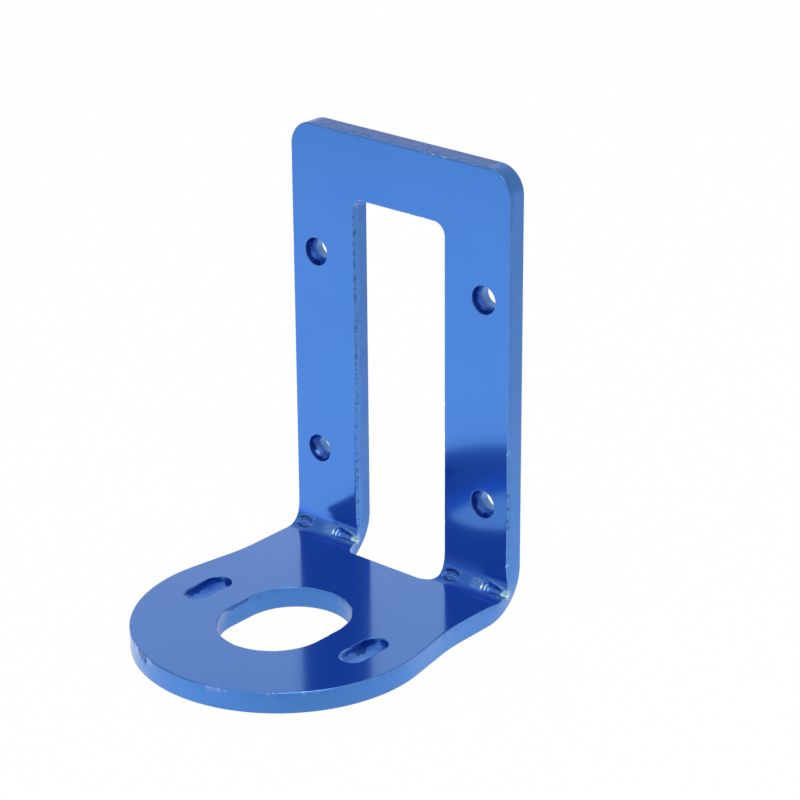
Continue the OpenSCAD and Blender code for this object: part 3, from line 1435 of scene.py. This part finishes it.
@dataclass(frozen=True)
class Anodising:
    """What both finishes share: a clear skin over grainy, faintly clouded metal.

    Args:
        grain: The group that gives the metal's grain.
        specks: The group that scatters specks.
        coat_ior: Refraction of the skin, which sets how strongly it mirrors.
        coat_rough: Roughness of the skin.
        grain_size: Scale of the grain.
        cloud_size: Scale of the clouds.
        bump: Strength of the grain's bumps and their height in millimetres.
    """

    grain: bpy.types.NodeTree
    specks: bpy.types.NodeTree
    coat_ior: float = 1.38
    coat_rough: float = 0.09
    grain_size: float = 3.0
    cloud_size: float = 0.09
    bump: Point = (0.03, 0.01)

    def texture(self, w: Wiring, place: Socket) -> tuple[Socket, Socket]:
        """Adds the metal's grain.

        Args:
            w: Wiring of the material.
            place: Place on the blank.

        Returns:
            The height of the grain and the tone of its clouds.
        """
        values = {"Place": place, "Size": self.grain_size, "Cloud": self.cloud_size}
        made = w.node("ShaderNodeGroup", values, node_tree=self.grain)
        return made.outputs["Height"], made.outputs["Tone"]

    def scattered(self, w: Wiring, place: Socket, look: Triple) -> Socket:
        """Scatters specks.

        Args:
            w: Wiring of the material.
            place: Place on the blank.
            look: Scale of their pattern, how much of it they fill, and its seed.

        Returns:
            A mask that is 1 on each speck.
        """
        size, share, seed = look
        values = {"Place": place, "Size": size, "Share": share, "Seed": seed}
        return w.node("ShaderNodeGroup", values, node_tree=self.specks).outputs["Mask"]

    def finish(self, w: Wiring, shader: Node, height: Socket, values: dict[str, Value]) -> None:
        """Feeds the shader what it is given, and adds the bumps and the skin.

        Args:
            w: Wiring of the material.
            shader: Its Principled BSDF.
            height: Height of the bumps.
            values: What the shader's own inputs are fed.
        """
        strength, deep = self.bump
        bump = w.node("ShaderNodeBump", {"Strength": strength, "Distance": deep * MM, "Height": height})
        w.fill(shader, values)
        w.fill(shader, {
            "Normal": bump.outputs[0],
            "Metallic": 1.0,
            "Coat Roughness": self.coat_rough,
            "Coat IOR": self.coat_ior,
        })


@dataclass(frozen=True)
class FaceFinish(Anodising):
    """Gloss blue anodising on smooth rolled aluminium, scratched by tools, with painted highlights and shade.

    Gloss and grain_rough give the plain face's roughness, to which pressed and drawn metal add theirs. What
    is called lightened says how far the face is lightened, from 0 to 1, by wear and chips and by painted
    highlights on rolled-over edges, on the bend's marks and on sparks: the blue thins first towards the glint
    colour, and within bright_range the metal's own colour takes over. Sparks are painted glints on the
    pressed bend, given by their scale, share and seed. Painted shade darkens the bend's marks, and dark
    knocks darken the face too.
    """

    blue: Colour = (0.046, 0.22, 0.735, 1.0)
    cloud: Colour = (0.05, 0.23, 0.75, 1.0)
    stretched: Colour = (0.039, 0.2, 0.83, 1.0)
    # The next colour is painted shade in the bend's marks, and darkens the dark knocks.
    dark_shade: Colour = (0.004, 0.03, 0.1, 1.0)
    # The next two colours show wear and also paint highlights on rolled-over edges, the bend's marks and
    # sparks.
    metal: Colour = (0.56, 0.9, 1.0, 1.0)
    glint: Colour = (0.2, 0.46, 1.0, 1.0)
    gloss: float = 0.125
    grain_rough: float = 0.02
    pressed: float = 0.1
    drawn: float = 0.1
    sparks: Triple = (5.5, 0.8, 6.0)
    spark_glint: Point = (1.5, 0.06)
    spark_most: float = 0.6
    wear_highlight_share: float = 0.34
    chip_bare: float = 0.5
    # A painted highlight along every rolled-over edge.
    rolled_highlight: float = 0.22
    lighten_share: float = 1.7
    bright_range: Point = (0.5, 1.0)

    def build(self) -> Material:
        """Builds the material.

        Returns:
            The material.
        """
        made, w, shader = start_material("gloss_blue_anodising")
        flat, press, bare_and_highlight, shade_and_darkening, drawn = read_attributes(w, "flat", "press", "bare_and_highlight", "shade_and_darkening", "drawn")
        chip, wear_and_highlight, rolled = read_attributes(w, "chip", "wear_and_highlight", "rolled")
        height, tone = self.texture(w, flat)
        sparks = self.scattered(w, flat, self.sparks)
        colour = w.blend(drawn, w.blend(tone, self.blue, self.cloud), self.stretched)
        # Painted highlights: sparks on the pressed bend, the marks and the rolled-over edges are lightened
        # along with wear and chips.
        glint = w.times(press, w.times_plus(sparks, *self.spark_glint))
        lightened = w.times_plus(wear_and_highlight, self.wear_highlight_share, w.times(chip, self.chip_bare))
        lightened = w.most(lightened, bare_and_highlight, w.least(glint, self.spark_most), w.times(rolled, self.rolled_highlight))
        colour = w.blend(w.times(lightened, self.lighten_share), colour, self.glint)
        colour = w.blend(w.ramp(lightened, *self.bright_range), colour, self.metal)
        rough = w.times_plus(height, self.grain_rough, self.gloss)
        rough = w.times_plus(drawn, self.drawn, rough)
        rough = w.times_plus(w.most(press, rolled), self.pressed, rough)
        # Painted shade in the bend's marks, and the dark knocks' darkening.
        colour = w.blend(shade_and_darkening, colour, self.dark_shade)
        self.finish(w, shader, height, {"Base Color": colour, "Roughness": rough, "Coat Weight": 1.0})
        return made


@dataclass(frozen=True)
class EdgeFinish(Anodising):
    """Anodised wall of a die-cut edge: streaked where it sheared, paler and grainy where it tore.

    A pattern of noise is given by its scale, its detail and its seed, and chips by their scale, share and
    seed. A range holds the levels between which something begins. Streaks end at a wavering depth, and the
    painted shade at an opening's mouth at another, as shares of the thickness; a fade is half the depth over
    which they end. Coat is the weight of the clear skin on sheared and on torn metal.
    """

    sheared: Colour = (0.072, 0.262, 0.74, 1.0)
    torn: Colour = (0.112, 0.295, 0.77, 1.0)
    within: Colour = (0.2, 0.42, 0.86, 1.0)
    dulled: Colour = (0.125, 0.215, 0.52, 1.0)
    scored: Colour = (0.025, 0.12, 0.42, 1.0)
    # The next two colours darken as painted shade: the first at the mouths of openings, the second deeper, in
    # holes, the bend's marks and dark knocks.
    pooled: Colour = (0.02, 0.11, 0.4, 1.0)
    deep_shade: Colour = (0.011, 0.066, 0.34, 1.0)
    metal: Colour = (0.4, 0.55, 0.85, 1.0)
    smooth: float = 0.24
    grainy: float = 0.48
    tone_rough: float = 0.08
    coat: Point = (0.6, 0.2)
    coat_rough: float = 0.2
    cloud_size: float = 0.25
    bump: Point = (0.35, 0.04)
    streaks: Triple = (3.3, 2.0, 5.0)
    streak_range: Point = (0.46, 0.54)
    streak_most: float = 0.85
    streak_high: float = 0.6
    score: Triple = (0.9, 1.0, 8.0)
    score_deep: Point = (0.55, -0.05)
    score_fade: float = 0.04
    patches: Triple = (1.3, 3.0, 9.0)
    patch_range: Point = (0.4, 0.6)
    patch_least: float = 0.35
    shade_runs: Triple = (1.2, 3.0, 4.0)
    run_way: Triple = (1.0, 1.0, 0.35)
    run_deep: float = 0.58
    run_fade: float = 0.025
    run_range: Point = (0.02, 0.3)
    run_most: float = 0.92
    chips: Triple = (0.9, 0.16, 2.0)

    def build(self) -> Material:
        """Builds the material.

        Returns:
            The material.
        """
        made, w, shader = start_material("sheared_blue_edge")
        flat, rent, wear, deep = read_attributes(w, "flat", "rent", "torn", "deep")
        dye, chip, bare_and_highlight, dull = read_attributes(w, "dye", "chip", "bare_and_highlight", "dull")
        shade_and_darkening, pale = read_attributes(w, "shade_and_darkening", "pale")
        height, tone = self.texture(w, flat)
        streak = w.noise(w.vector("MULTIPLY", flat, THROUGH_SHEET), *self.streaks)
        border = w.times_plus(w.noise(flat, *self.score), *self.score_deep)
        above = w.ramp(w.minus(deep, border), self.score_fade, -self.score_fade)
        scored = w.times(w.ramp(streak, *self.streak_range), w.minus(1.0, rent), above)
        scored = w.times(scored, w.times(wear, self.streak_most))
        patchy = w.ramp(w.noise(flat, *self.patches), *self.patch_range, self.patch_least, 1.0)
        colour = w.blend(rent, self.sheared, self.torn)
        colour = w.blend(w.times(dull, patchy), colour, self.dulled)
        colour = w.blend(scored, colour, self.scored)
        colour = w.blend(pale, colour, self.within)
        # Painted shade darkens each opening's mouth and the bend's marks; the dark knocks darken too.
        shade_runs = w.noise(w.vector("MULTIPLY", flat, self.run_way), *self.shade_runs)
        mouth = w.minus(deep, w.times(shade_runs, w.times(dye, self.run_deep)))
        mouth = w.times(w.ramp(mouth, self.run_fade, -self.run_fade), w.ramp(dye, *self.run_range))
        dark = w.blend(w.most(pale, shade_and_darkening), self.pooled, self.deep_shade)
        colour = w.blend(w.most(w.times(mouth, self.run_most), shade_and_darkening), colour, dark)
        # Chips show the metal, and so do the scratches of marks and knocks, some of which are painted
        # highlights.
        chipped = w.times(self.scattered(w, flat, self.chips), w.minus(wear, pale))
        colour = w.blend(w.most(chipped, w.most(chip, bare_and_highlight)), colour, self.metal)
        grainy = w.most(rent, dull)
        rough = w.ramp(grainy, 0.0, 1.0, self.smooth, self.grainy)
        rough = w.times_plus(tone, self.tone_rough, rough)
        coat = w.ramp(grainy, 0.0, 1.0, *self.coat)
        height = w.times_plus(streak, self.streak_high, height)
        self.finish(w, shader, height, {"Base Color": colour, "Roughness": rough, "Coat Weight": coat})
        return made


def read_attributes(w: Wiring, *names: str) -> list[Socket]:
    """Reads attributes of the mesh in a material, as vectors or as numbers.

    Args:
        w: Wiring of the material.
        names: The attributes' names; "flat" is the vector.

    Returns:
        A socket for each.
    """
    outputs = {name: w.node("ShaderNodeAttribute", attribute_name=name).outputs for name in names}
    return [given["Vector" if name == "flat" else "Fac"] for name, given in outputs.items()]


def start_material(name: str) -> tuple[Material, Wiring, Node]:
    """Makes a node material.

    Args:
        name: Name of the material.

    Returns:
        The material, the wiring of its tree and its Principled BSDF.
    """
    made = bpy.data.materials.new(name)
    made.use_nodes = True
    return made, Wiring(made.node_tree), made.node_tree.nodes["Principled BSDF"]


class Bracket:
    """The bracket: blanked, pierced, folded and anodised."""

    def __init__(self, sheet: Sheet) -> None:
        """Keeps the sizes."""
        self.sheet = sheet

    def build(self) -> bpy.types.Object:
        """Builds and dresses the bracket.

        Returns:
            The finished piece, which stands for the solid.
        """
        groups = ShaderGroup.grain(), ShaderGroup.specks()
        face = FaceFinish(*groups).build()
        edge = EdgeFinish(*groups).build()
        blank = Blank(self.sheet, EdgeProfile(), PressMarks()).build()
        piece = FoldTree(self.sheet).fold(blank, face, edge)
        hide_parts(NODE)
        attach(piece, BODY)
        return piece


@dataclass(frozen=True)
class Lamp:
    """A soft square lamp that points at the bracket.

    Args:
        name: Name of the lamp.
        power: Its power in watts.
        size: Length of its side in metres.
        place: Where it hangs, in metres.
    """

    name: str
    power: float
    size: float
    place: Triple

    def hang(self) -> None:
        """Hangs the lamp."""
        light = bpy.data.lights.new(self.name, "AREA")
        light.shape = "SQUARE"
        light.size = self.size
        light.energy = self.power
        lamp = put_in_scene(self.name, light)
        lamp.location = self.place
        lamp.rotation_mode = "QUATERNION"
        lamp.rotation_quaternion = (-Vector(self.place)).to_track_quat("-Z", "Y")


@dataclass(frozen=True)
class Studio:
    """Floor, surroundings and lamps; lengths in metres, but floor_gap in millimetres.

    To the camera the floor is plain white but for what shown leaves over, which keeps the bracket's shadow.
    In reflections it glows: most at lit_middle, less at lit_reach from there, under the disc (shaded) and in
    a spot (dim). The room has a level of light on each side, and turns from one to the next between two
    directions along X, Z and Y.
    """

    key: Lamp = Lamp("key", 2.4, 0.5, (0.45, -0.3, 0.75))
    overhead: Lamp = Lamp("overhead", 1.4, 0.9, (0.0, 0.1, 1.0))
    floor_half: float = 3.0
    floor_gap: float = 0.02
    floor_white: float = 0.92
    floor_rough: float = 0.9
    shown: float = 0.975
    mirrored: float = 1.0
    shaded: float = 0.82
    shade_reach: Point = (0.007, 0.012)
    lit_middle: Triple = (-0.06, -0.045, -0.027)
    lit_reach: float = 0.24
    lit_least: float = 0.68
    dim_middle: Triple = (0.024, -0.041, -0.027)
    dim_reach: float = 0.026
    dim: float = 0.72
    room_front: float = 0.49
    room_right: float = 0.52
    room_back: float = 0.78
    room_top: float = 0.46
    to_right: Point = (-0.3, 0.4)
    to_top: Point = (0.36, 0.75)
    to_front: Point = (0.25, -0.35)

    def floor(self, sheet: Sheet) -> None:
        """Lays the floor under the bracket, shaded under the middle of its disc and clear from below.

        Args:
            sheet: Sizes of the bracket that stands on it.
        """
        mesh = bpy.data.meshes.new("floor")
        half = self.floor_half
        corners = [(-half, -half), (half, -half), (half, half), (-half, half)]
        level = (sheet.underside_z - self.floor_gap) * MM
        mesh.from_pydata([(x, y, level) for x, y in corners], [], [(0, 1, 2, 3)])
        made, w, shader = start_material("pale_floor")
        white = (self.floor_white, self.floor_white, self.floor_white, 1.0)
        w.fill(shader, {"Base Color": white, "Roughness": self.floor_rough, "Specular IOR Level": 0.0})
        light = w.node("ShaderNodeLightPath").outputs
        camera = light["Is Camera Ray"]
        mirror = w.most(light["Is Glossy Ray"], light["Is Transmission Ray"])
        share = w.times_plus(camera, self.shown, w.times(mirror, self.mirrored))
        place = w.node("ShaderNodeTexCoord").outputs["Object"]
        middle = (0.0, sheet.disc_y * MM, sheet.underside_z * MM)
        shade = w.ramp(w.distance(place, middle), *self.shade_reach, self.shaded, 1.0)
        lit = w.ramp(w.distance(place, self.lit_middle), 0.0, self.lit_reach, 1.0, self.lit_least)
        dim = w.ramp(w.distance(place, self.dim_middle), 0.0, self.dim_reach, self.dim, 1.0)
        strength = w.times(w.times(lit, shade), dim)
        glow = w.node("ShaderNodeEmission", {"Strength": w.most(strength, camera)})
        mixed = w.node("ShaderNodeMixShader", {0: share, 1: shader.outputs[0], 2: glow.outputs[0]})
        below = w.node("ShaderNodeNewGeometry").outputs["Backfacing"]
        clear = w.node("ShaderNodeBsdfTransparent")
        seen = w.node("ShaderNodeMixShader", {0: below, 1: mixed.outputs[0], 2: clear.outputs[0]})
        w.feed(made.node_tree.nodes["Material Output"].inputs["Surface"], seen.outputs[0])
        mesh.materials.append(made)
        floor = put_in_scene("floor", mesh)

    def room(self) -> None:
        """Surrounds the bracket with a room that is light behind it and dimmer in front."""
        world = bpy.data.worlds.new("room")
        bpy.context.scene.world = world
        world.use_nodes = True
        w = Wiring(world.node_tree)
        way = w.node("ShaderNodeSeparateXYZ", {0: w.node("ShaderNodeTexCoord").outputs["Generated"]}).outputs
        level = w.ramp(way[0], *self.to_right, self.room_back, self.room_right)
        high = w.ramp(way[2], *self.to_top)
        level = w.times_plus(high, w.minus(self.room_top, level), level)
        front = w.ramp(way[1], *self.to_front)
        level = w.times_plus(front, w.minus(self.room_front, level), level)
        level = w.most(level, w.node("ShaderNodeLightPath").outputs["Is Camera Ray"])
        w.fill(world.node_tree.nodes["Background"], {"Color": (1.0, 1.0, 1.0, 1.0), "Strength": level})

    def build(self, sheet: Sheet) -> None:
        """Builds the whole studio.

        Args:
            sheet: Sizes of the bracket that stands in it.
        """
        self.floor(sheet)
        self.room()
        for lamp in (self.key, self.overhead):
            lamp.hang()


@dataclass(frozen=True)
class PhotoCamera:
    """The photograph's camera, found from the outlines of the bracket.

    Turns are in degrees and lengths in millimetres. It stands at its distance from the point look_at, whose
    height is above the underside, and slides to its right and up from there.
    """

    picture_px: int = 800
    focal_px: float = 2829.8
    azimuth: float = 40.556
    elevation: float = 22.924
    roll: float = -0.392
    distance: float = 332.98
    slide_right: float = 7.509
    slide_up: float = 3.212
    look_at: Triple = (0.0, -14.0, 24.0)
    sensor: float = 36.0

    def build(self, sheet: Sheet) -> None:
        """Sets up the camera.

        Args:
            sheet: Sizes of the sheet, whose underside the camera's point is measured from.
        """
        turn, tilt, lean = (math.radians(a) for a in (self.azimuth, self.elevation, self.roll))
        back = Vector((math.sin(turn) * math.cos(tilt), -math.cos(turn) * math.cos(tilt), math.sin(tilt)))
        level = Vector((math.cos(turn), math.sin(turn), 0.0))
        upright = back.cross(level)
        right = level * math.cos(lean) + upright * math.sin(lean)
        up = upright * math.cos(lean) - level * math.sin(lean)
        place = Vector(self.look_at) + Vector((0.0, 0.0, sheet.underside_z))
        place += back * self.distance + right * self.slide_right + up * self.slide_up
        data = bpy.data.cameras.new("photo_camera")
        data.sensor_width = self.sensor
        data.lens = self.focal_px * self.sensor / self.picture_px
        camera = put_in_scene("photo_camera", data)
        camera.matrix_world = Matrix.Translation(place * MM) @ Matrix((right, up, back)).transposed().to_4x4()
        bpy.context.scene.camera = camera


def main() -> None:
    """Builds the bracket, its studio and its camera, and logs the bracket's triangle count."""
    logging.basicConfig(level=logging.INFO, format="%(message)s")
    bpy.context.scene.view_settings.view_transform = "Standard"
    sheet = Sheet.from_frame()
    PhotoCamera().build(sheet)
    piece = Bracket(sheet).build()
    log.info("%s: %d triangles", piece.name, sum(len(p.vertices) - 2 for p in piece.data.polygons))
    Studio().build(sheet)


if __name__ == "__main__":
    main()
